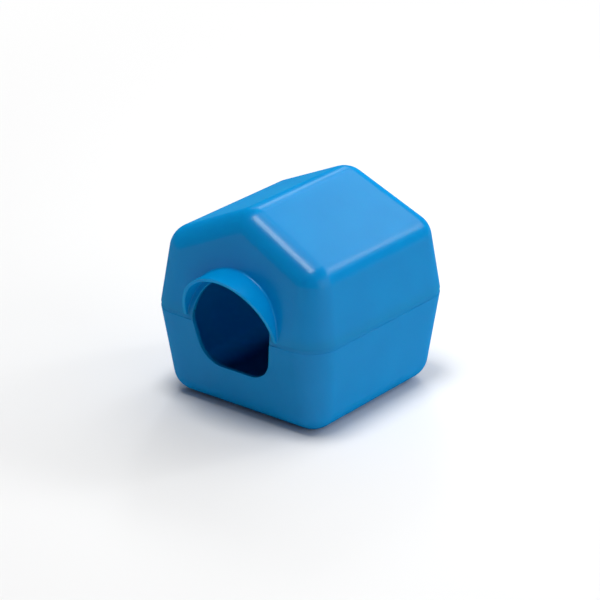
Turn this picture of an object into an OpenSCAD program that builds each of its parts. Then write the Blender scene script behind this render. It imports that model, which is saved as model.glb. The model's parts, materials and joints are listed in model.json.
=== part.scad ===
// Small-pet house in two plastic mouldings: a tray with a floor, and a gabled roof that lifts off it.
// The walls lean in from the joint, upwards on the roof and downwards on the tray, so each piece leaves
// its mould in one straight pull. A tongue round the tray's rim stands up inside the roof's skirt, and
// the skirt stands on a shallow band below it, which draws a line all round the house.
// Lengths are millimetres and angles are degrees. +Z is up, the doorway faces -Y, and the origin is the
// middle of the tray's underside.

/* [House] */
// Width across the side walls at the joint
house_w = 110; // [100:1:150]
// Depth across the end walls at the joint
house_d = 116; // [104:1:160]
// Height of the tray's shoulder above the ground
tray_h = 49; // [45:0.5:70]
// Height of the roof's side walls, from their lower edge up to the eave line
eave_h = 37.2; // [33:0.1:60]
// Pitch of the two roof slopes
roof_pitch = 25; // [18:0.5:35]

/* [Drafts] */
// Lean of the roof's side walls
roof_side_draft = 7.5; // [3:0.1:10]
// Lean of the roof's end walls
roof_end_draft = 10.2; // [4:0.1:13]
// Lean of the tray's side walls
tray_side_draft = 6.4; // [3:0.1:10]
// Lean of the tray's end walls
tray_end_draft = 10.2; // [4:0.1:13]

/* [Rounding] */
// Radius of the upright corners in plan, at the joint
corner_r = 17; // [14:0.5:22]
// Radius of the roof's ridge, eaves and gable edges
roof_edge_r = 13.5; // [8:0.5:16]
// Radius round the edge of the tray's floor
floor_edge_r = 13.5; // [8:0.5:16]

/* [Shell] */
// Thickness of the walls, the slopes and the floor
wall = 2.4; // [2:0.1:3]
// Height of the upright band at each edge of the joint
land = 0.6; // [0.3:0.1:1]

/* [Joint] */
// Height of the band that shows between the tray's shoulder and the roof's lower edge
reveal = 2; // [1:0.1:4]
// Step from the outer faces in to that band
band_step = 0.3; // [0.1:0.05:0.5]
// Thickness of the roof's skirt, which stands on the band in front of the tongue
skirt_t = 0.9; // [0.6:0.05:1.2]
// Height of the skirt, from the roof's lower edge up to the step over the tongue
lap = 3; // [2:0.25:4]
// Play between the tongue and the roof
fit_gap = 0.25; // [0.1:0.05:0.4]

/* [Doorway] */
// Width at the joint, which is also the diameter of the arch
door_w = 50; // [36:0.5:56]
// Width across the rounded foot, in the tray
door_foot_w = 46; // [34:0.5:50]
// Height of the sill above the ground
sill_h = 25.7; // [18:0.1:30]
// Radius of the two lower corners
door_corner_r = 14; // [4:0.5:16]

/* [Hood] */
// Ledge of wall between the arch and the inside of the hood
hood_ledge = 3; // [1:0.25:5]
// Thickness of the hood
hood_t = 2; // [1.4:0.1:3]
// Lean of the hood's front edge out from the upright
hood_lean = 19; // [8:0.5:30]
// Reach of the hood in front of the wall at its two lower ends
hood_toe = 0.5; // [0.2:0.1:2]

/* [Hidden] */

// Segments round a full circle
facets = 40;
// Overshoot of a cut past the face that it opens
over = 2;
// Colour of the plastic
blue = "#0082C8";

// Levels above the ground: the roof's lower edge, the roof's step, the top of the tongue under it, and the
// eave and ridge lines
roof_z = tray_h + reveal;
step_z = roof_z + lap;
tongue_z = step_z - fit_gap;
eave_z = roof_z + eave_h;
eave_x = house_w / 2 - eave_h * tan(roof_side_draft);
ridge_z = eave_z + eave_x * tan(roof_pitch);

// Middles of the balls that round the roof, one at each end of the ridge and of the two eaves
ridge_ball_z = ridge_z - roof_edge_r / cos(roof_pitch);
eave_ball_x =
    (house_w / 2 - roof_edge_r / cos(roof_side_draft) - (ridge_ball_z - roof_z) * tan(roof_side_draft))
    / (1 - tan(roof_pitch) * tan(roof_side_draft));
eave_ball_z = ridge_ball_z - eave_ball_x * tan(roof_pitch);
function roof_ball_y(z) =
    house_d / 2 - roof_edge_r / cos(roof_end_draft) - (z - roof_z) * tan(roof_end_draft);

// Middles of the balls that round the floor
floor_drop = tray_h - floor_edge_r;
floor_ball_x = house_w / 2 - floor_edge_r / cos(tray_side_draft) - floor_drop * tan(tray_side_draft);
floor_ball_y = house_d / 2 - floor_edge_r / cos(tray_end_draft) - floor_drop * tan(tray_end_draft);

// Radii of the doorway's arch and of the hood round it
arch_r = door_w / 2;
hood_inner_r = arch_r + hood_ledge;
hood_outer_r = hood_inner_r + hood_t;

// Ball with a point at each pole, so that a flat face on it lies at the full radius
module ball(radius) {
    rings = facets / 2;
    outline = [for (ring = [0 : rings]) radius * [sin(180 * ring / rings), cos(180 * ring / rings)]];
    rotate_extrude($fn = facets)
        polygon(outline);
}

// Upright block from z_low to z_high in the plan of the house, moved in from the joint's outline by inset.
// With a rise, the plan is the roof's at that height above its lower edge.
module plan_block(inset, z_low, z_high, rise = 0) {
    radius = corner_r - inset - (corner_r - roof_edge_r) * rise / (eave_ball_z - roof_z);
    half_w = house_w / 2 - inset - rise * tan(roof_side_draft);
    half_d = house_d / 2 - inset - rise * tan(roof_end_draft);
    translate([0, 0, z_low])
        linear_extrude(z_high - z_low)
            offset(r = radius, $fn = facets)
                square(2 * [half_w - radius, half_d - radius], center = true);
}

// Gabled body of the roof from z_low up, moved in from its outer face by inset
module roof_form(inset, z_low) {
    hull() {
        plan_block(inset, z_low, roof_z + land);
        for (end = [-1, 1]) {
            translate([0, end * roof_ball_y(ridge_ball_z), ridge_ball_z])
                ball(roof_edge_r - inset);
            for (side = [-1, 1])
                translate([side * eave_ball_x, end * roof_ball_y(eave_ball_z), eave_ball_z])
                    ball(roof_edge_r - inset);
        }
    }
}

// Body of the tray from its floor to z_high, moved in from its outer face by inset
module tray_form(inset, z_high) {
    hull() {
        plan_block(inset, tray_h - land, z_high);
        for (end = [-1, 1], side = [-1, 1])
            translate([side * floor_ball_x, end * floor_ball_y, floor_edge_r])
                ball(floor_edge_r - inset);
    }
}

// Block that fills the lap up to z_high: upright beside the band, then leaning with the roof's wall
module lap_form(inset, z_high) {
    hull() {
        plan_block(inset, tray_h - wall, roof_z);
        plan_block(inset, z_high - land, z_high, z_high - land - roof_z);
    }
}

// Carries an outline drawn in X and Z through the front wall, from y_front to the middle of the house
module through_front(y_front) {
    rotate([90, 0, 0])
        linear_extrude(-y_front)
            children();
}

// Lower half of the doorway: sides that draw in to two rounded corners, open at the top past the tongue
module tray_doorway() {
    corner_x = door_foot_w / 2 - door_corner_r;
    through_front(-house_d / 2 - over)
        hull() {
            for (side = [-1, 1])
                translate([side * corner_x, sill_h + door_corner_r])
                    circle(door_corner_r, $fn = facets);
            translate([-arch_r, tray_h])
                square([door_w, tongue_z + over - tray_h]);
        }
}

// Upper half of the doorway: an arch that springs from the roof's lower edge
module roof_doorway() {
    through_front(-house_d / 2 - over)
        translate([0, roof_z])
            circle(arch_r, $fn = facets);
}

// Hood over the arch: a half ring, cut off in front by a plane that leans out as it rises
module hood() {
    rise = hood_outer_r + over;
    toe_y = -house_d / 2 - hood_toe;
    front_y = toe_y - rise * tan(hood_lean);
    intersection() {
        through_front(front_y)
            translate([0, roof_z])
                difference() {
                    circle(hood_outer_r, $fn = facets);
                    circle(hood_inner_r, $fn = facets);
                }
        translate([-house_w / 2, 0, roof_z])
            rotate([90, 0, 90])
                linear_extrude(house_w)
                    polygon([[0, 0], [toe_y, 0], [front_y, rise], [0, rise]]);
    }
}

// Tray: floor, drafted walls, the band and the tongue round its rim, and the lower half of the doorway
module base_tray() {
    color(blue)
        difference() {
            union() {
                tray_form(0, tray_h);
                plan_block(band_step, tray_h - land, roof_z);
                lap_form(skirt_t + fit_gap, tongue_z);
            }
            tray_form(wall, tongue_z + over);
            tray_doorway();
        }
}

// Roof: slopes, gables and drafted walls, the step over the tongue, the arch and its hood
module roof_cover() {
    color(blue)
        difference() {
            union() {
                roof_form(0, roof_z);
                hood();
            }
            roof_form(wall, roof_z - over);
            lap_form(skirt_t, step_z);
            roof_doorway();
        }
}

base_tray();
roof_cover();
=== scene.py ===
# %% [markdown]
# # A small plastic house, in two mouldings
#
# The real house is two injection mouldings in one blue plastic: a tray that stands on the ground, and a
# gabled roof that drops over the tray's rim and lifts off again for cleaning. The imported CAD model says
# where both pieces are and how large they are. Blender loads it as a fixed frame and dresses it: each
# solid is hidden behind a smooth mesh of the same shape, with the small roundings and the finish that a
# mould leaves.

# %% Load the frame
import json
import math

import bmesh
import bpy
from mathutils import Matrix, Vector

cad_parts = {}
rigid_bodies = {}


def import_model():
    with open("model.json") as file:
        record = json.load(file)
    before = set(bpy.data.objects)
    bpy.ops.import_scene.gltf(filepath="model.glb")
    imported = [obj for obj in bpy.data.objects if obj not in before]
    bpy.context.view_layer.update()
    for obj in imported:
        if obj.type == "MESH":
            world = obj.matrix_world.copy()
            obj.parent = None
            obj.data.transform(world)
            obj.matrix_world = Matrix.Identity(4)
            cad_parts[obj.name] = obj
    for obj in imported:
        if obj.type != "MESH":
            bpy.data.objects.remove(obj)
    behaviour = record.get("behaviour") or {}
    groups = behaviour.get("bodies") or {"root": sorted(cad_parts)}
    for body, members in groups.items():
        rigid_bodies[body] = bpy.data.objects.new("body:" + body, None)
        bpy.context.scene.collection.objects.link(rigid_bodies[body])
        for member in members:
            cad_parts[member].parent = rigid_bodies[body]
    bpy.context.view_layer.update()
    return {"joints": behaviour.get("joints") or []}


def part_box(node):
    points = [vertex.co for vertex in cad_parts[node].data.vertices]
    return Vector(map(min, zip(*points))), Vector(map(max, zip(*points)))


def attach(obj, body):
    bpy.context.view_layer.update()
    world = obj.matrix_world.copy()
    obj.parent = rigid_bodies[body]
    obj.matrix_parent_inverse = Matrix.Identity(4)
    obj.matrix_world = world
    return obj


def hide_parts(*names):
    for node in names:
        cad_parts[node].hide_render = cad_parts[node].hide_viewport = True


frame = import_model()
mm = 0.001
scene = bpy.context.scene
scene.view_settings.view_transform = "Standard"

# %% [markdown]
# ## Camera
#
# The photograph is taken from the front right and a little above, far back and through a long lens, so
# the upright edges stay almost parallel. A camera could be pushed about until the picture looks right. It
# is easier to keep it right when it is described by what a photographer would note: the direction that it
# looks from, the distance, the focal length in pixels and the pixel that the lens axis passes through.
# Blender asks for millimetres on a sensor and for a shift of the axis, so the pixels are converted.

# %% Place the camera
frame_px = 600
sensor_w = 36.0
view_azimuth = math.radians(38.16)
view_elevation = math.radians(23.35)
view_distance = 1.4813
view_target = Vector((0, 0, 50 * mm))
focal_px = 2861.3
axis_px = (301.34, 294.78)

to_camera = Vector((
    math.cos(view_elevation) * math.sin(view_azimuth),
    -math.cos(view_elevation) * math.cos(view_azimuth),
    math.sin(view_elevation),
))
lens = bpy.data.cameras.new("photo_camera")
lens.sensor_width = sensor_w
lens.lens = focal_px * sensor_w / frame_px
lens.shift_x = (frame_px / 2 - axis_px[0]) / frame_px
lens.shift_y = (axis_px[1] - frame_px / 2) / frame_px
camera = bpy.data.objects.new("photo_camera", lens)
camera.location = view_target + view_distance * to_camera
camera.rotation_euler = to_camera.to_track_quat("Z", "Y").to_euler()
scene.collection.objects.link(camera)
scene.camera = camera
print("Lens", round(lens.lens, 1), "mm at", [round(value, 3) for value in camera.location])

# %% [markdown]
# ## Two helpers for node trees
#
# Materials and Geometry Nodes are both trees of nodes, so one small function can add a node to either: it
# sets the node's properties, then fills each socket with a value or a link. Colours are written as the
# hex values that a paint program shows. Blender shades in linear light, so a second function converts
# them.

# %% Helpers for nodes and colours
def add_node(tree, kind, sockets=None, **settings):
    """Adds a node of that kind to the tree, with its settings and its input sockets' values or links."""
    made = tree.nodes.new(kind)
    for name, value in settings.items():
        setattr(made, name, value)
    for socket, value in (sockets or {}).items():
        if isinstance(value, bpy.types.NodeSocket):
            tree.links.new(value, made.inputs[socket])
        else:
            made.inputs[socket].default_value = value
    return made


def linear(hex_colour):
    """Linear red, green, blue and alpha of an sRGB hex colour."""
    srgb = [int(hex_colour[start:start + 2], 16) / 255 for start in (1, 3, 5)]
    return [c / 12.92 if c <= 0.04045 else ((c + 0.055) / 1.055) ** 2.4 for c in srgb] + [1.0]


print("Mid grey, #808080, is", round(linear("#808080")[0], 3), "in linear light")

# %% [markdown]
# ## The plastic
#
# Houses of this kind are moulded in polypropylene, coloured right through. The mould is smooth but not
# polished to a mirror, so the surface is a satin gloss: pale highlights on the rounded edges, and flat faces
# that stay deep blue, even those that the eye only skims. A plain glossy base would turn white there. So
# the base gives just the colour, and the gloss is a coat with a low weight and a high IOR, which reflects
# nearly as much from every side. The base keeps its roughness for a scene that turns its own gloss back on.
#
# The plastic is a little translucent too. Some light soaks through the thin walls, the blue of it best, so
# the inside of the house is a dim blue and not black. Subsurface scattering with a long reach gives that.
#
# Close up the surface isn't perfect. The cooling plastic leaves slow waves and a faint orange peel, which
# comes and goes with the polish of the mould, and the pigment drifts a little. Noise on Object coordinates
# makes all of these, and each one's scale is the size of its marks in millimetres.

# %% Moulded polypropylene
pigment_light = "#0089CE"
pigment_deep = "#007FC3"
pigment_drift = 24 * mm
polish_drift = 7 * mm
noise_detail = 1.0
# Each pair is for the dull patches of the mould, then for the polished ones.
satin_roughness = (0.42, 0.34)
peel_strength = (1.0, 0.6)
wave_length = 16 * mm
wave_height = 0.02 * mm
# Real orange peel has marks of about 0.4 mm, finer than a pixel here, so they are drawn coarser to show.
peel_size = 1.1 * mm
peel_height = 0.0045 * mm
gloss = {
    "IOR": 1.49, "Specular IOR Level": 0.0, "Coat Weight": 0.065, "Coat Roughness": 0.25, "Coat IOR": 3.0}
soak = {
    "Subsurface Weight": 0.3, "Subsurface Scale": 15 * mm, "Subsurface Radius": (0.1, 0.8, 1.0)}


def moulded_polypropylene():
    """Satin blue polypropylene with pale highlights, a faint peel and light that soaks through."""
    material = bpy.data.materials.new("moulded_polypropylene")
    material.use_nodes = True
    tree = material.node_tree
    shader = tree.nodes["Principled BSDF"]
    place = add_node(tree, "ShaderNodeTexCoord").outputs["Object"]
    noise = {}
    for mark, size in (("pigment", pigment_drift), ("polish", polish_drift),
                       ("wave", wave_length), ("peel", peel_size)):
        texture = add_node(tree, "ShaderNodeTexNoise", {
            "Vector": place, "Scale": 1 / size, "Detail": noise_detail})
        noise[mark] = texture.outputs["Fac"]

    pigment = add_node(tree, "ShaderNodeMix", {"Factor": noise["pigment"]}, data_type="RGBA")
    pigment.inputs["A"].default_value = linear(pigment_deep)
    pigment.inputs["B"].default_value = linear(pigment_light)
    tree.links.new(pigment.outputs["Result"], shader.inputs["Base Color"])
    polish = {}
    for effect, (dull, polished) in (("roughness", satin_roughness), ("peel", peel_strength)):
        drift = add_node(tree, "ShaderNodeMapRange", {
            "Value": noise["polish"], "To Min": dull, "To Max": polished})
        polish[effect] = drift.outputs["Result"]
    tree.links.new(polish["roughness"], shader.inputs["Roughness"])
    waves = add_node(tree, "ShaderNodeBump", {"Height": noise["wave"], "Distance": wave_height})
    peel = add_node(tree, "ShaderNodeBump", {
        "Height": noise["peel"], "Distance": peel_height, "Strength": polish["peel"],
        "Normal": waves.outputs["Normal"]})
    for normal in ("Normal", "Coat Normal"):
        tree.links.new(peel.outputs["Normal"], shader.inputs[normal])
    for socket, value in {**gloss, **soak}.items():
        shader.inputs[socket].default_value = value
    return material


plastic = moulded_polypropylene()
print("Finish", plastic.name, "with", len(plastic.node_tree.nodes), "nodes")

# %% [markdown]
# ## Sizes
#
# The frame gives the outside sizes. The width, the depth and the two levels of the joint come from the
# boxes of the CAD nodes, so the dressed pieces follow the frame. The rest are the drawing's own sizes: the
# lean of each wall, which lets a moulding slip out of its mould, and the radii and thicknesses.

# %% Read the frame and name the sizes
tray_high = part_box("base_tray")[1]
roof_low, roof_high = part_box("roof_cover")
half_w = tray_high.x
half_d = tray_high.y
roof_z = roof_low.z
tongue_z = tray_high.z

reveal = 2 * mm
band_step = 0.3 * mm
skirt_t = 0.9 * mm
fit_gap = 0.25 * mm
shoulder_z = roof_z - reveal
step_z = tongue_z + fit_gap
eave_h = 37.2 * mm
roof_slope = math.tan(math.radians(25))
roof_side_lean = math.tan(math.radians(7.5))
roof_end_lean = math.tan(math.radians(10.2))
tray_side_lean = math.tan(math.radians(6.4))
tray_end_lean = math.tan(math.radians(10.2))
corner_r = 17 * mm
roof_edge_r = 13.5 * mm
floor_edge_r = 13.5 * mm
wall = 2.4 * mm
overshoot = 2 * mm
print("House", [round(size / mm, 1) for size in (2 * half_w, 2 * half_d, roof_high.z)], "mm")

# %% [markdown]
# ## Trees that make shapes
#
# Two kinds of form here follow a rule, so Geometry Nodes make them: the soft boxes and the hood. Both trees
# begin alike, with named inputs for their sizes. A modifier knows an input only by its identifier, so those
# are kept by name. Both end alike too: instances become real faces, because an export would drop them, and
# the faces get their material.

# %% Begin and end a tree
def begin_tree(name, inputs, output):
    """New tree with named inputs of each kind and one output, and its inputs' identifiers by name."""
    tree = bpy.data.node_groups.new(name, "GeometryNodeTree")
    identifiers = {}
    for kind, titles in inputs.items():
        for title in titles:
            socket = tree.interface.new_socket(title, in_out="INPUT", socket_type="NodeSocket" + kind)
            identifiers[title] = socket.identifier
    tree.interface.new_socket(output, in_out="OUTPUT", socket_type="NodeSocketGeometry")
    return tree, identifiers


def end_tree(tree, geometry, material, output):
    """Makes the geometry real, gives it the material and sends it to the tree's output."""
    solid = add_node(tree, "GeometryNodeRealizeInstances", {"Geometry": geometry})
    finish = add_node(tree, "GeometryNodeSetMaterial", {
        "Geometry": solid.outputs["Geometry"], "Material": material})
    add_node(tree, "NodeGroupOutput", {output: finish.outputs["Geometry"]})
    print("Tree", tree.name, "has", len(tree.nodes), "nodes")


# %% [markdown]
# ## A form stretched over balls
#
# Both mouldings are a soft box whose walls lean. On the roof, six balls of one radius round the eaves and
# the ridge, and a rounded rectangle is the outline at the joint. Stretch a skin over balls and outline, and
# the flat walls, the slopes, the rolled edges and the blends at the corners all come out tangent to each
# other. Bevels on a box would have to be guessed where three different roundings meet. Here the skin is
# the Convex Hull node, in one tree for both pieces: the tray has its four balls at the floor. The outline
# comes first. Each of its corners has a quarter of a ball's segments, so that the points of both match.

# %% Outline of the stretched form
form_tree, form_inputs = begin_tree("stretched_form", {
    "Float": ("Outline Width", "Outline Depth", "Outline Corner", "Outline Low", "Outline High",
              "Ball Radius"),
    "Vector": ("Corner Ball", "Ridge Ball"),
    "Int": ("Segments",),
    "Material": ("Material",)}, "Form")
given = add_node(form_tree, "NodeGroupInput").outputs
gathered = add_node(form_tree, "GeometryNodeJoinGeometry")
per_corner = add_node(form_tree, "ShaderNodeMath", {0: given["Segments"], 1: 0.25}, operation="MULTIPLY")
rectangle = add_node(form_tree, "GeometryNodeCurvePrimitiveQuadrilateral", {
    "Width": given["Outline Width"], "Height": given["Outline Depth"]})
rounded = add_node(form_tree, "GeometryNodeFilletCurve", {
    "Curve": rectangle.outputs["Curve"], "Radius": given["Outline Corner"],
    "Count": per_corner.outputs["Value"]}, mode="POLY")
outline = add_node(form_tree, "GeometryNodeCurveToMesh", {"Curve": rounded.outputs["Curve"]})
for level in ("Outline Low", "Outline High"):
    height = add_node(form_tree, "ShaderNodeCombineXYZ", {"Z": given[level]})
    raised = add_node(form_tree, "GeometryNodeTransform", {
        "Geometry": outline.outputs["Mesh"], "Translation": height.outputs["Vector"]})
    form_tree.links.new(raised.outputs["Geometry"], gathered.inputs["Geometry"])
print("The outline takes", len(form_tree.nodes), "nodes")

# %% [markdown]
# One ball serves for all its places. It has half as many rings as segments, which makes its faces nearly
# square. The places mirror each other, so each is the centre of the corner's ball, or of the ridge's, times
# a row of signs. The skin then goes over all that was gathered.

# %% Balls and skin of the stretched form
rings = add_node(form_tree, "ShaderNodeMath", {0: given["Segments"], 1: 0.5}, operation="MULTIPLY")
ball = add_node(form_tree, "GeometryNodeMeshUVSphere", {
    "Segments": given["Segments"], "Rings": rings.outputs["Value"], "Radius": given["Ball Radius"]})
mirrors = [("Corner Ball", (side, end, 1)) for side in (-1, 1) for end in (-1, 1)]
mirrors += [("Ridge Ball", (1, end, 1)) for end in (-1, 1)]
for title, signs in mirrors:
    spot = add_node(form_tree, "ShaderNodeVectorMath", {0: given[title], 1: signs}, operation="MULTIPLY")
    placed = add_node(form_tree, "GeometryNodeTransform", {
        "Geometry": ball.outputs["Mesh"], "Translation": spot.outputs["Vector"]})
    form_tree.links.new(placed.outputs["Geometry"], gathered.inputs["Geometry"])

skin = add_node(form_tree, "GeometryNodeConvexHull", {"Geometry": gathered.outputs["Geometry"]})
end_tree(form_tree, skin.outputs["Convex Hull"], given["Material"], "Form")

# %% [markdown]
# A tree only draws something as a modifier on an object. The next helper gives it an object, sets the
# tree's inputs by their identifiers, keeps the result as a plain mesh and takes the modifier off again. The
# hull comes back as triangles, so the helper also melts the ones that lie in one plane into single faces.

# %% Turn a tree into a plain mesh
melt_angle = math.radians(0.3)
weld_distance = 0.001 * mm


def clean(mesh):
    """Welds doubles, melts flat neighbours together, turns faces outwards and reports on the mesh."""
    work = bmesh.new()
    work.from_mesh(mesh)
    bmesh.ops.remove_doubles(work, verts=work.verts, dist=weld_distance)
    bmesh.ops.dissolve_limit(work, angle_limit=melt_angle, verts=work.verts, edges=work.edges)
    bmesh.ops.recalc_face_normals(work, faces=work.faces)
    open_edges = sum(not edge.is_manifold for edge in work.edges)
    print(mesh.name, len(work.faces), "faces,", open_edges, "open edges,",
          round(work.calc_volume() / mm ** 3), "mm3")
    work.to_mesh(mesh)
    work.free()


def plain_mesh(thing):
    """Keeps what the object's modifiers make as its own mesh, and takes them off."""
    graph = bpy.context.evaluated_depsgraph_get()
    made = bpy.data.meshes.new_from_object(thing.evaluated_get(graph), depsgraph=graph)
    made.name = thing.name
    thing.modifiers.clear()
    thing.data = made


def grow(name, tree, identifiers, sizes, start=None):
    """Object of what a node tree makes of the sizes, and of a start mesh where it takes one."""
    thing = bpy.data.objects.new(name, start or bpy.data.meshes.new(name))
    scene.collection.objects.link(thing)
    modifier = thing.modifiers.new(tree.name, "NODES")
    modifier.node_group = tree
    for title, value in sizes.items():
        modifier[identifiers[title]] = value
    plain_mesh(thing)
    clean(thing.data)
    return thing


# %% [markdown]
# ## Roof and tray forms
#
# The balls sit where a ball of that radius touches the walls and the slopes. A little trigonometry finds
# them: come down from the ridge line, then in from the eave, then in from the gable at that height. The
# hollow inside is the same form moved in by the wall's thickness, so each moulding has one wall
# everywhere, as plastic needs to cool evenly.

# %% Stretch the roof and its hollow
segments = 96
eave_x = half_w - eave_h * roof_side_lean
ridge_z = roof_z + eave_h + eave_x * roof_slope
ridge_ball_z = ridge_z - roof_edge_r * math.hypot(1, roof_slope)
eave_ball_x = (
    half_w - roof_edge_r * math.hypot(1, roof_side_lean) - (ridge_ball_z - roof_z) * roof_side_lean
) / (1 - roof_slope * roof_side_lean)
eave_ball_z = ridge_ball_z - eave_ball_x * roof_slope


def gable_ball_y(height):
    """Depth at which a ball at that height touches the leaning end wall."""
    return half_d - roof_edge_r * math.hypot(1, roof_end_lean) - (height - roof_z) * roof_end_lean


def roof_plan(inset, rise):
    """Width, depth and corner radius of the roof's plan, moved in by inset, at that rise over its edge."""
    corner = corner_r - inset - (corner_r - roof_edge_r) * rise / (eave_ball_z - roof_z)
    return 2 * (half_w - inset - rise * roof_side_lean), 2 * (half_d - inset - rise * roof_end_lean), corner


def stretch(name, plan, low, high, ball_r, corner_ball, ridge_ball):
    """Form over the balls and over an outline of that plan, upright from low to high."""
    width, depth, corner = plan
    return grow(name, form_tree, form_inputs, {
        "Outline Width": width, "Outline Depth": depth, "Outline Corner": corner,
        "Outline Low": low, "Outline High": high, "Ball Radius": ball_r,
        "Corner Ball": corner_ball, "Ridge Ball": ridge_ball, "Segments": segments, "Material": plastic})


def roof_form(name, inset, low, rise):
    """Body of the roof moved in by inset, upright from low to its outline at that rise."""
    return stretch(
        name, roof_plan(inset, rise), low, roof_z + rise, roof_edge_r - inset,
        (eave_ball_x, gable_ball_y(eave_ball_z), eave_ball_z),
        (0, gable_ball_y(ridge_ball_z), ridge_ball_z))


step_clear = 0.5 * mm
roof_body = roof_form("roof_body", 0, roof_z, 0)
roof_hollow = roof_form("roof_hollow", wall, roof_z - overshoot, step_z + step_clear - roof_z)

# %% [markdown]
# The tray is the same kind of form turned over: its four balls round the edge of the floor, and its outline
# is at the shoulder, just under the band. It has no ridge, so the middle pair of balls is put between the
# corner balls, where it changes nothing.

# %% Stretch the tray and its hollow
floor_drop = shoulder_z - floor_edge_r
floor_ball_x = half_w - floor_edge_r * math.hypot(1, tray_side_lean) - floor_drop * tray_side_lean
floor_ball_y = half_d - floor_edge_r * math.hypot(1, tray_end_lean) - floor_drop * tray_end_lean


def tray_form(name, inset, high):
    """Body of the tray moved in by inset, upright from the shoulder to high."""
    return stretch(
        name, roof_plan(inset, 0), shoulder_z, high, floor_edge_r - inset,
        (floor_ball_x, floor_ball_y, floor_edge_r), (0, floor_ball_y, floor_edge_r))


tray_body = tray_form("tray_body", 0, shoulder_z)
tray_hollow = tray_form("tray_hollow", wall, tongue_z + overshoot)

# %% [markdown]
# ## The lap joint
#
# The two pieces meet in a half lap. A thin tongue round the tray's rim stands up inside the roof's skirt,
# and the skirt stands on a band that is set back by less than a millimetre, so all that shows is a fine
# line round the house. Tongue and recess are one block, made twice with a small difference for the fit:
# upright beside the band, then leaning with the roof's wall. A loft through outlines gives it even quads.

# %% Loft through outlines
def loft(name, outlines):
    """Closed solid through a row of outlines that have as many points each."""
    work = bmesh.new()
    rows = [[work.verts.new(point) for point in points] for points in outlines]
    work.faces.new(rows[0])
    work.faces.new(rows[-1])
    for low, high in zip(rows, rows[1:]):
        for here in range(len(low)):
            after = (here + 1) % len(low)
            work.faces.new((low[here], low[after], high[after], high[here]))
    bmesh.ops.recalc_face_normals(work, faces=work.faces)
    mesh = bpy.data.meshes.new(name)
    work.to_mesh(mesh)
    work.free()
    mesh.materials.append(plastic)
    thing = bpy.data.objects.new(name, mesh)
    scene.collection.objects.link(thing)
    print(name, len(mesh.polygons), "faces through", len(outlines), "outlines")
    return thing


# %% [markdown]
# Every outline at the joint is the roof's plan, moved in by some thickness. It is drawn as four arcs, one to
# a corner, and the sides are the straight steps from one arc to the next.

# %% Band, tongue and the recess for it
def arc(centre_a, centre_b, radius, start, end, steps):
    """Points on an arc in a plane, both ends included."""
    turns = [start + (end - start) * step / steps for step in range(steps + 1)]
    return [(centre_a + radius * math.cos(t), centre_b + radius * math.sin(t)) for t in turns]


def plan_points(inset, rise, height):
    """Points round the roof's plan, moved in by inset, drawn at that height."""
    width, depth, corner = roof_plan(inset, rise)
    points = []
    for quarter, (side, end) in enumerate(((1, 1), (-1, 1), (-1, -1), (1, -1))):
        start = quarter * math.pi / 2
        points += arc(side * (width / 2 - corner), end * (depth / 2 - corner), corner,
                      start, start + math.pi / 2, segments // 4)
    return [(x, y, height) for x, y in points]


def lap_block(name, inset, low, high):
    """Block that fills the lap: upright from low to the roof's edge, then leaning with its wall to high."""
    return loft(name, [plan_points(inset, 0, low), plan_points(inset, 0, roof_z),
                       plan_points(inset, high - roof_z, high)])


# Band and tongue start below the shoulder, inside the tray's body, so that they join it.
band = loft("band", [plan_points(band_step, 0, level) for level in (shoulder_z - wall / 2, roof_z)])
tongue = lap_block("tongue", skirt_t + fit_gap, shoulder_z - wall, tongue_z)
roof_recess = lap_block("roof_recess", skirt_t, roof_z - overshoot, step_z)

# %% [markdown]
# ## The doorway
#
# The doorway is half in each piece: an arch in the roof's front wall, and below the joint an opening whose
# sides draw in to two large round corners over a sill. Each half is an outline carried through the front
# wall. The side of the lower half leaves its corner circle where a line from the joint just touches it.

# %% Loft the two doorway cutters
door_w = 50 * mm
arch_r = door_w / 2
door_foot_w = 46 * mm
sill_z = 25.7 * mm
door_corner_r = 14 * mm
arch_steps = 72
corner_steps = 24


def through_front(name, outline):
    """Cutter that carries an outline in X and Z through the front wall."""
    return loft(name, [[(x, y, z) for x, z in outline] for y in (-half_d - overshoot, 0)])


arch_outline = arc(0, roof_z, arch_r, 0, math.pi, arch_steps)
arch_outline += [(-arch_r, roof_z - overshoot), (arch_r, roof_z - overshoot)]
corner_x = door_foot_w / 2 - door_corner_r
corner_z = sill_z + door_corner_r
to_joint = Vector((arch_r - corner_x, shoulder_z - corner_z))
touch = math.atan2(to_joint.y, to_joint.x) - math.acos(door_corner_r / to_joint.length)
right_side = arc(corner_x, corner_z, door_corner_r, -math.pi / 2, touch, corner_steps)
right_side += [(arch_r, shoulder_z), (arch_r, tongue_z + overshoot)]
foot_outline = right_side + [(-x, z) for x, z in reversed(right_side)]
roof_doorway = through_front("roof_doorway", arch_outline)
tray_doorway = through_front("tray_doorway", foot_outline)

# %% [markdown]
# ## The hood
#
# A thin hood runs round the arch like the peak of a cap. It stands proud at the crown and dies away into
# the wall at its two feet, because a leaning plane cuts off its front. It follows a path, so a tree sweeps
# a profile along the arch. Each profile point says which face it belongs to and how far it is from it:
# outer or inner side, root or front rim, a spread along the radius, a drop along the depth, and how deep it
# is sunk into the wall. The tree then pulls the root onto the leaning wall and the rim onto the leaning
# plane. The root's fillets and the rim's roundings are in the profile, and they ease off at the feet, where
# there is no room for them.

# %% Profile of the hood
hood_ledge = 3 * mm
hood_t = 2 * mm
hood_lean = math.tan(math.radians(19))
# At the joint's level the front plane is the toe's reach off the wall. The feet end the toe's rise higher.
toe_reach = 0.5 * mm
toe_rise = 0.5 * mm
root_fillet = 1.0 * mm
inner_fillet = 0.6 * mm
rim_round = 0.5 * mm
# The root ends inside the wall, and its fillets' edges just under the face, so that the two solids cross.
root_depth = 1.6 * mm
root_sink = 0.01 * mm
round_steps = 4

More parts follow.
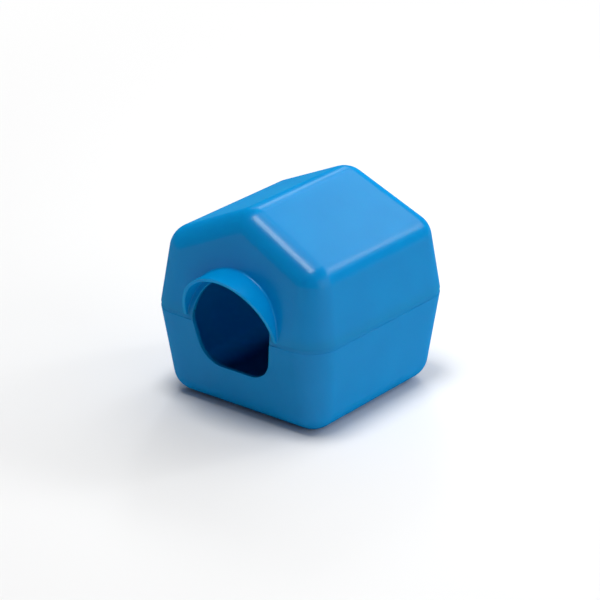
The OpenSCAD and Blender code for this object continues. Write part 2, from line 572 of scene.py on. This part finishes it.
quarter_turn = [math.pi / 2 * step / round_steps for step in range(round_steps + 1)]
profile_columns = ("outer", "front", "spread", "drop", "deep")
profile = [(1, 0, root_fillet, 0, root_depth), (1, 0, root_fillet, 0, root_sink)]
profile += [(1, 0, root_fillet * (1 - math.sin(t)), -root_fillet * (1 - math.cos(t)), 0)
            for t in quarter_turn[1:]]
profile += [(1, 1, -rim_round * (1 - math.cos(t)), rim_round * (1 - math.sin(t)), 0) for t in quarter_turn]
profile += [(0, 1, rim_round * (1 - math.sin(t)), rim_round * (1 - math.cos(t)), 0) for t in quarter_turn]
profile += [(0, 0, -inner_fillet * (1 - math.cos(t)), -inner_fillet * (1 - math.sin(t)), 0)
            for t in quarter_turn[:-1]]
profile += [(0, 0, -inner_fillet, 0, root_sink), (0, 0, -inner_fillet, 0, root_depth)]

hood_profile = bpy.data.meshes.new("hood_profile")
hood_profile.from_pydata(
    [(point * mm, 0, 0) for point in range(len(profile))],
    [(point, (point + 1) % len(profile)) for point in range(len(profile))], [])
for column, title in enumerate(profile_columns):
    attribute = hood_profile.attributes.new(title, "FLOAT", "POINT")
    attribute.data.foreach_set("value", [float(row[column]) for row in profile])
print("The hood's profile has", len(profile), "points")

# %% [markdown]
# The path is half a circle. Its points store how far along it they are, and the swept mesh inherits that
# from the path, and the five columns from the profile. So every swept point knows all that its place needs.

# %% Sweep the profile along the arch
hood_tree, hood_inputs = begin_tree("swept_hood", {
    "Geometry": ("Profile",),
    "Float": ("Arch Radius", "Thickness", "Spring Height", "Wall Foot", "Wall Lean", "Front Lean",
              "Toe Reach", "Toe Rise", "Full Round Reach"),
    "Int": ("Steps",),
    "Material": ("Material",)}, "Hood")
given = add_node(hood_tree, "NodeGroupInput").outputs
profile_curve = add_node(hood_tree, "GeometryNodeMeshToCurve", {"Mesh": given["Profile"]})
path = add_node(hood_tree, "GeometryNodeCurveArc", {
    "Resolution": given["Steps"], "Start Angle": 0.0, "Sweep Angle": math.pi}, mode="RADIUS")
progress = add_node(hood_tree, "GeometryNodeSplineParameter")
marked_path = add_node(hood_tree, "GeometryNodeStoreNamedAttribute", {
    "Geometry": path.outputs["Curve"], "Name": "along", "Value": progress.outputs["Factor"]},
    data_type="FLOAT", domain="POINT")
sweep = add_node(hood_tree, "GeometryNodeCurveToMesh", {
    "Curve": marked_path.outputs["Geometry"], "Profile Curve": profile_curve.outputs["Curve"],
    "Fill Caps": True})
print("The sweep takes", len(hood_tree.nodes), "nodes")

# %% [markdown]
# The places of the swept points are a formula, and a formula in nodes is a row of Math nodes. Written as a
# list of steps it stays readable: a name, an operation, and terms that are numbers or earlier names.

# %% Move the swept points into place
terms = {title: given[title] for title in hood_inputs}
for title in profile_columns + ("along",):
    stored = add_node(hood_tree, "GeometryNodeInputNamedAttribute", {"Name": title}, data_type="FLOAT")
    terms[title] = stored.outputs["Attribute"]
for name, operation, *values in (
        ("angle", "MULTIPLY", "along", math.pi),
        ("sine", "SINE", "angle"),
        ("cosine", "COSINE", "angle"),
        ("both leans", "ADD", "Wall Lean", "Front Lean"),
        ("plain radius", "MULTIPLY_ADD", "outer", "Thickness", "Arch Radius"),
        ("plain rise", "MULTIPLY", "plain radius", "sine"),
        ("plain reach", "MULTIPLY_ADD", "plain rise", "both leans", "Toe Reach"),
        ("room", "DIVIDE", "plain reach", "Full Round Reach"),
        ("ease", "MINIMUM", "room", 1.0),
        ("radius", "MULTIPLY_ADD", "spread", "ease", "plain radius"),
        ("x", "MULTIPLY", "radius", "cosine"),
        ("full rise", "MULTIPLY", "radius", "sine"),
        ("rise", "MAXIMUM", "full rise", "Toe Rise"),
        ("z", "ADD", "rise", "Spring Height"),
        ("wall y", "MULTIPLY_ADD", "rise", "Wall Lean", "Wall Foot"),
        ("root y", "ADD", "wall y", "deep"),
        ("side y", "MULTIPLY_ADD", "drop", "ease", "root y"),
        ("reach", "MULTIPLY_ADD", "rise", "both leans", "Toe Reach"),
        ("proud", "MULTIPLY", "front", "reach"),
        ("y", "SUBTRACT", "side y", "proud")):
    sockets = {index: terms.get(value, value) for index, value in enumerate(values)}
    terms[name] = add_node(hood_tree, "ShaderNodeMath", sockets, operation=operation, label=name).outputs[0]

swept_place = add_node(hood_tree, "ShaderNodeCombineXYZ", {axis.upper(): terms[axis] for axis in "xyz"})
swept = add_node(hood_tree, "GeometryNodeSetPosition", {
    "Geometry": sweep.outputs["Mesh"], "Position": swept_place.outputs["Vector"]})
end_tree(hood_tree, swept.outputs["Geometry"], given["Material"], "Hood")

# %% [markdown]
# Now the tree gets its sizes. The roundings are full wherever the hood stands out by a little more than the
# two of them take up.

# %% Make the hood
round_room = 1.25
hood = grow("hood", hood_tree, hood_inputs, {
    "Arch Radius": arch_r + hood_ledge, "Thickness": hood_t, "Spring Height": roof_z,
    "Wall Foot": -half_d, "Wall Lean": roof_end_lean, "Front Lean": hood_lean,
    "Toe Reach": toe_reach, "Toe Rise": toe_rise,
    "Full Round Reach": round_room * (root_fillet + rim_round),
    "Steps": arch_steps + 1, "Material": plastic}, hood_profile)

# %% [markdown]
# ## Carve the two mouldings
#
# Now the solids are put together as the mould would: add what stands proud, take away the hollow, the lap
# and the doorway. Boolean modifiers with the exact solver do this cleanly, because no two solids share a
# face: each cutter runs a little past the face that it opens.

# %% Add and cut with Booleans
def carve(name, body, added, cut):
    """New object: the body with some solids added and others cut away. The solids used are removed."""
    thing = bpy.data.objects.new(name, body.data)
    scene.collection.objects.link(thing)
    for operation, tools in (("UNION", added), ("DIFFERENCE", cut)):
        for tool in tools:
            boolean = thing.modifiers.new(tool.name, "BOOLEAN")
            boolean.operation = operation
            boolean.object = tool
            boolean.solver = "EXACT"
    plain_mesh(thing)
    clean(thing.data)
    for used in (body, *added, *cut):
        bpy.data.objects.remove(used)
    return thing


roof_moulding = carve("roof_moulding", roof_body, [hood], [roof_hollow, roof_recess, roof_doorway])
tray_moulding = carve("tray_moulding", tray_body, [band, tongue], [tray_hollow, tray_doorway])

# %% [markdown]
# ## Break the sharp edges
#
# No moulded edge is truly sharp, and the thin line of light along an edge is what makes a render believable.
# A Bevel modifier rounds edges by their weight, so each piece has a rule that gives an edge its radius: a
# touch on the roof's rim and round its arch, less at the joint, where the steps are fractions of a
# millimetre, and nothing on the hood, which has its roundings already.

# %% Rules for the radii
outer_round = 0.35 * mm
joint_round = 0.18 * mm
near = 0.05 * mm


def inset_from_face(point):
    """Distance of a point in from the roof's leaning outer face, measured level and below 0 outside."""
    width, depth, corner = roof_plan(0, point.z - roof_z)
    past_x = abs(point.x) - (width / 2 - corner)
    past_y = abs(point.y) - (depth / 2 - corner)
    return corner - math.hypot(max(past_x, 0), max(past_y, 0)) - min(max(past_x, past_y), 0)


def roof_rounding(point):
    """Radius of the roof's edge at that point."""
    inset = inset_from_face(point)
    from_arch = math.hypot(point.x, point.z - roof_z) - arch_r
    on_hood = hood_ledge - inner_fillet - near < from_arch < hood_ledge + hood_t + root_fillet + near
    # The hood's edges are in that ring round the arch, on the front face or before it.
    if inset < near and on_hood and point.z > roof_z + near and point.y < 0:
        return 0
    # The joint's edges are those of the lap, on the inner side of the skirt.
    return joint_round if point.z < step_z + near and inset > skirt_t / 2 else outer_round


def tray_rounding(point):
    """Radius of the tray's edges, small enough for the step of the band."""
    return joint_round


print("Edges get", round(outer_round / mm, 2), "mm, and", round(joint_round / mm, 2), "mm at the joint")

# %% [markdown]
# The bevel is for outer edges alone. Each one is asked for its radius at its middle, and its weight is that
# radius as a share of the largest. Inner corners stay crisp, because outer edges of the mould make them.

# %% Round the edges
sharp_angle = math.radians(25)
bevel_segments = 3


def break_edges(thing, rounding):
    """Rounds the piece's sharp outer edges to the radius that a rule gives."""
    work = bmesh.new()
    work.from_mesh(thing.data)
    weight = work.edges.layers.float.new("bevel_weight_edge")
    outer = [edge for edge in work.edges if edge.is_convex and edge.calc_face_angle() > sharp_angle]
    for edge in outer:
        edge[weight] = rounding((edge.verts[0].co + edge.verts[1].co) / 2) / outer_round
    print(thing.name, "has", len(outer), "sharp edges to round")
    work.to_mesh(thing.data)
    work.free()
    bevel = thing.modifiers.new("edges", "BEVEL")
    bevel.limit_method = "WEIGHT"
    bevel.width = outer_round
    bevel.segments = bevel_segments
    bevel.use_clamp_overlap = False
    plain_mesh(thing)


break_edges(roof_moulding, roof_rounding)
break_edges(tray_moulding, tray_rounding)

# %% [markdown]
# Then the shading is smoothed. Inner corners are marked sharp, so that the narrow band at the joint isn't
# shaded together with the step below it, and weighted normals keep the flat faces flat right up to the
# roundings.

# %% Smooth the shading
def smooth_shading(thing):
    """Smooths the piece's shading, but for its inner corners."""
    work = bmesh.new()
    work.from_mesh(thing.data)
    for face in work.faces:
        face.smooth = True
    inner = [edge for edge in work.edges if not edge.is_convex and edge.calc_face_angle() > sharp_angle]
    for edge in inner:
        edge.smooth = False
    work.to_mesh(thing.data)
    work.free()
    shading = thing.modifiers.new("shading", "WEIGHTED_NORMAL")
    shading.keep_sharp = True
    plain_mesh(thing)
    print(thing.name, "has", len(thing.data.polygons), "faces and", len(inner), "edges in inner corners")


for moulding in (roof_moulding, tray_moulding):
    smooth_shading(moulding)

# %% [markdown]
# ## Join the frame
#
# Each moulding rides on the body of the CAD node that it stands for, so the roof lifts off with its joint.

# %% Ride the bodies
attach(tray_moulding, "tray")
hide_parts("base_tray")
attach(roof_moulding, "roof")
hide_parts("roof_cover")
for joint in frame["joints"]:
    print("Joint", joint["name"], "moves the", joint["child"], "on the", joint["parent"])

# %% [markdown]
# ## Studio
#
# The house stands on white paper that sweeps up behind it into an evenly lit backdrop. One flat sheet can
# stand for both: near the house it is paper and takes the shadow, and further out it fades into plain white
# for whatever looks at it, which is the camera and the reflections. To all other light it stays paper, so
# the white adds no light.

# %% Floor
floor_half = 20.0
paper_reach = 0.15
white_reach = 0.75
paper = {"Base Color": linear("#EEEEEE"), "Roughness": 0.9, "Specular IOR Level": 0.1}
plain_white = {"Color": linear("#FFFFFF"), "Strength": 1.0}
floor_mesh = bpy.data.meshes.new("floor")
floor_corners = [(x * floor_half, y * floor_half, 0) for x, y in ((-1, -1), (1, -1), (1, 1), (-1, 1))]
floor_mesh.from_pydata(floor_corners, [], [(0, 1, 2, 3)])
floor = bpy.data.objects.new("floor", floor_mesh)
scene.collection.objects.link(floor)


def matt_paper():
    """White cartridge paper with a matt face, which fades into plain white away from the house."""
    material = bpy.data.materials.new("matt_paper")
    material.use_nodes = True
    tree = material.node_tree
    shader = tree.nodes["Principled BSDF"]
    for socket, value in paper.items():
        shader.inputs[socket].default_value = value
    place = add_node(tree, "ShaderNodeTexCoord").outputs["Object"]
    distance = add_node(tree, "ShaderNodeVectorMath", {0: place}, operation="LENGTH").outputs["Value"]
    fade = add_node(tree, "ShaderNodeMapRange", {
        "Value": distance, "From Min": paper_reach, "From Max": white_reach},
        interpolation_type="SMOOTHSTEP")
    rays = add_node(tree, "ShaderNodeLightPath").outputs
    looks = rays["Is Camera Ray"]
    for kind in ("Is Glossy Ray", "Is Transmission Ray"):
        either = add_node(tree, "ShaderNodeMath", {0: looks, 1: rays[kind]}, operation="MAXIMUM")
        looks = either.outputs["Value"]
    share = add_node(tree, "ShaderNodeMath", {0: fade.outputs["Result"], 1: looks}, operation="MULTIPLY")
    white = add_node(tree, "ShaderNodeEmission", plain_white)
    mix = add_node(tree, "ShaderNodeMixShader", {
        0: share.outputs["Value"], 1: shader.outputs["BSDF"], 2: white.outputs["Emission"]})
    tree.links.new(mix.outputs["Shader"], tree.nodes["Material Output"].inputs["Surface"])
    return material


floor_mesh.materials.append(matt_paper())
print("Floor", 2 * floor_half, "m wide, plain white from", white_reach, "m outwards")

# %% [markdown]
# Six soft lamps stand round the house. A bright one overhead is the key: the rounded front edge of the right
# slope mirrors it as a pale line. A soft box over the ridge and a long panel behind are what the right slope
# itself mirrors, and two narrow lamps below the panel draw the lines along the ridge and the eave. A large
# lamp on the right lights the side wall. The front has no lamp of its own, so it is the darkest side, lit by
# the room and by the floor. A lamp's brightness is given as the light that its face gives off, because that
# is what a glossy surface shows.

# %% Lamps and room
lamp_distance = 1.3
house_middle = Vector((0, 0, 60 * mm))
room_light = {"Color": linear("#FFFFFF"), "Strength": 0.12}


def soft_lamp(name, azimuth, elevation, width, height, brightness):
    """Rectangular lamp that looks at the house, with a face of that brightness, 1 being white.
    Its azimuth is 0 degrees behind the house, 90 on the right and 180 in front."""
    turn, tilt = math.radians(azimuth), math.radians(elevation)
    to_lamp = Vector((math.sin(turn) * math.cos(tilt), math.cos(turn) * math.cos(tilt), math.sin(tilt)))
    light = bpy.data.lights.new(name, "AREA")
    light.shape = "RECTANGLE"
    light.size = width
    light.size_y = height
    light.energy = brightness * math.pi * width * height
    lamp = bpy.data.objects.new(name, light)
    lamp.location = house_middle + lamp_distance * to_lamp
    lamp.rotation_euler = to_lamp.to_track_quat("Z", "Y").to_euler()
    scene.collection.objects.link(lamp)
    print(name, "at", [round(value, 2) for value in lamp.location], "m")


# Name, azimuth and elevation in degrees, width and height in metres, and brightness
for lamp in (
        ("top_lamp", 180, 81, 0.44, 0.44, 17.5),
        ("soft_box", 8, 69, 0.35, 0.85, 2.8),
        ("back_panel", -1, 41, 2.4, 0.22, 5.5),
        ("ridge_lamp", -34, 30, 0.12, 0.24, 15.0),
        ("eave_lamp", 30, 32, 0.14, 0.34, 11.0),
        ("right_lamp", 84, 18, 1.4, 0.85, 1.4)):
    soft_lamp(*lamp)
room = bpy.data.worlds.new("room")
room.use_nodes = True
for socket, value in room_light.items():
    room.node_tree.nodes["Background"].inputs[socket].default_value = value
scene.world = room
